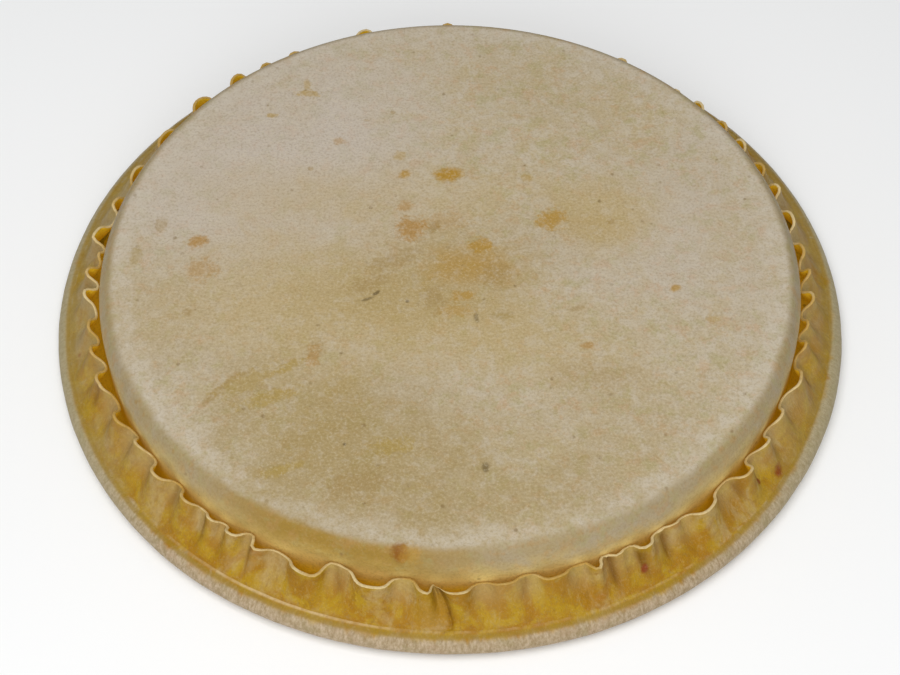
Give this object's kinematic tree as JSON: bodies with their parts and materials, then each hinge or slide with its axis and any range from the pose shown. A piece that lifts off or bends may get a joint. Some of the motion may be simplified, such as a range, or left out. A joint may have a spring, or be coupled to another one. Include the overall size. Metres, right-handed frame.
{
  "type": "mounted skin drum head",
  "caption": "Round rawhide head for a tambourine or hand drum: flat playing skin, short collar and ruffled cuff, rolled over a steel flesh hoop.",
  "frame": {"origin": "centre of the circle that the head rests on, under its hoop", "axes": "+Z out of the playing face, along the axis of the collar"},
  "size_m": [0.3432, 0.3432, 0.039],
  "materials": {
    "rawhide": "dried natural skin, satin on the playing face, glossy and amber where it is bare and translucent at the cuff",
    "hoop_steel": "bright drawn rod, dulled, with one welded joint"
  },
  "bodies": {
    "root": {"hide": "rawhide", "flesh_hoop": "hoop_steel"}
  },
  "joints": []
}
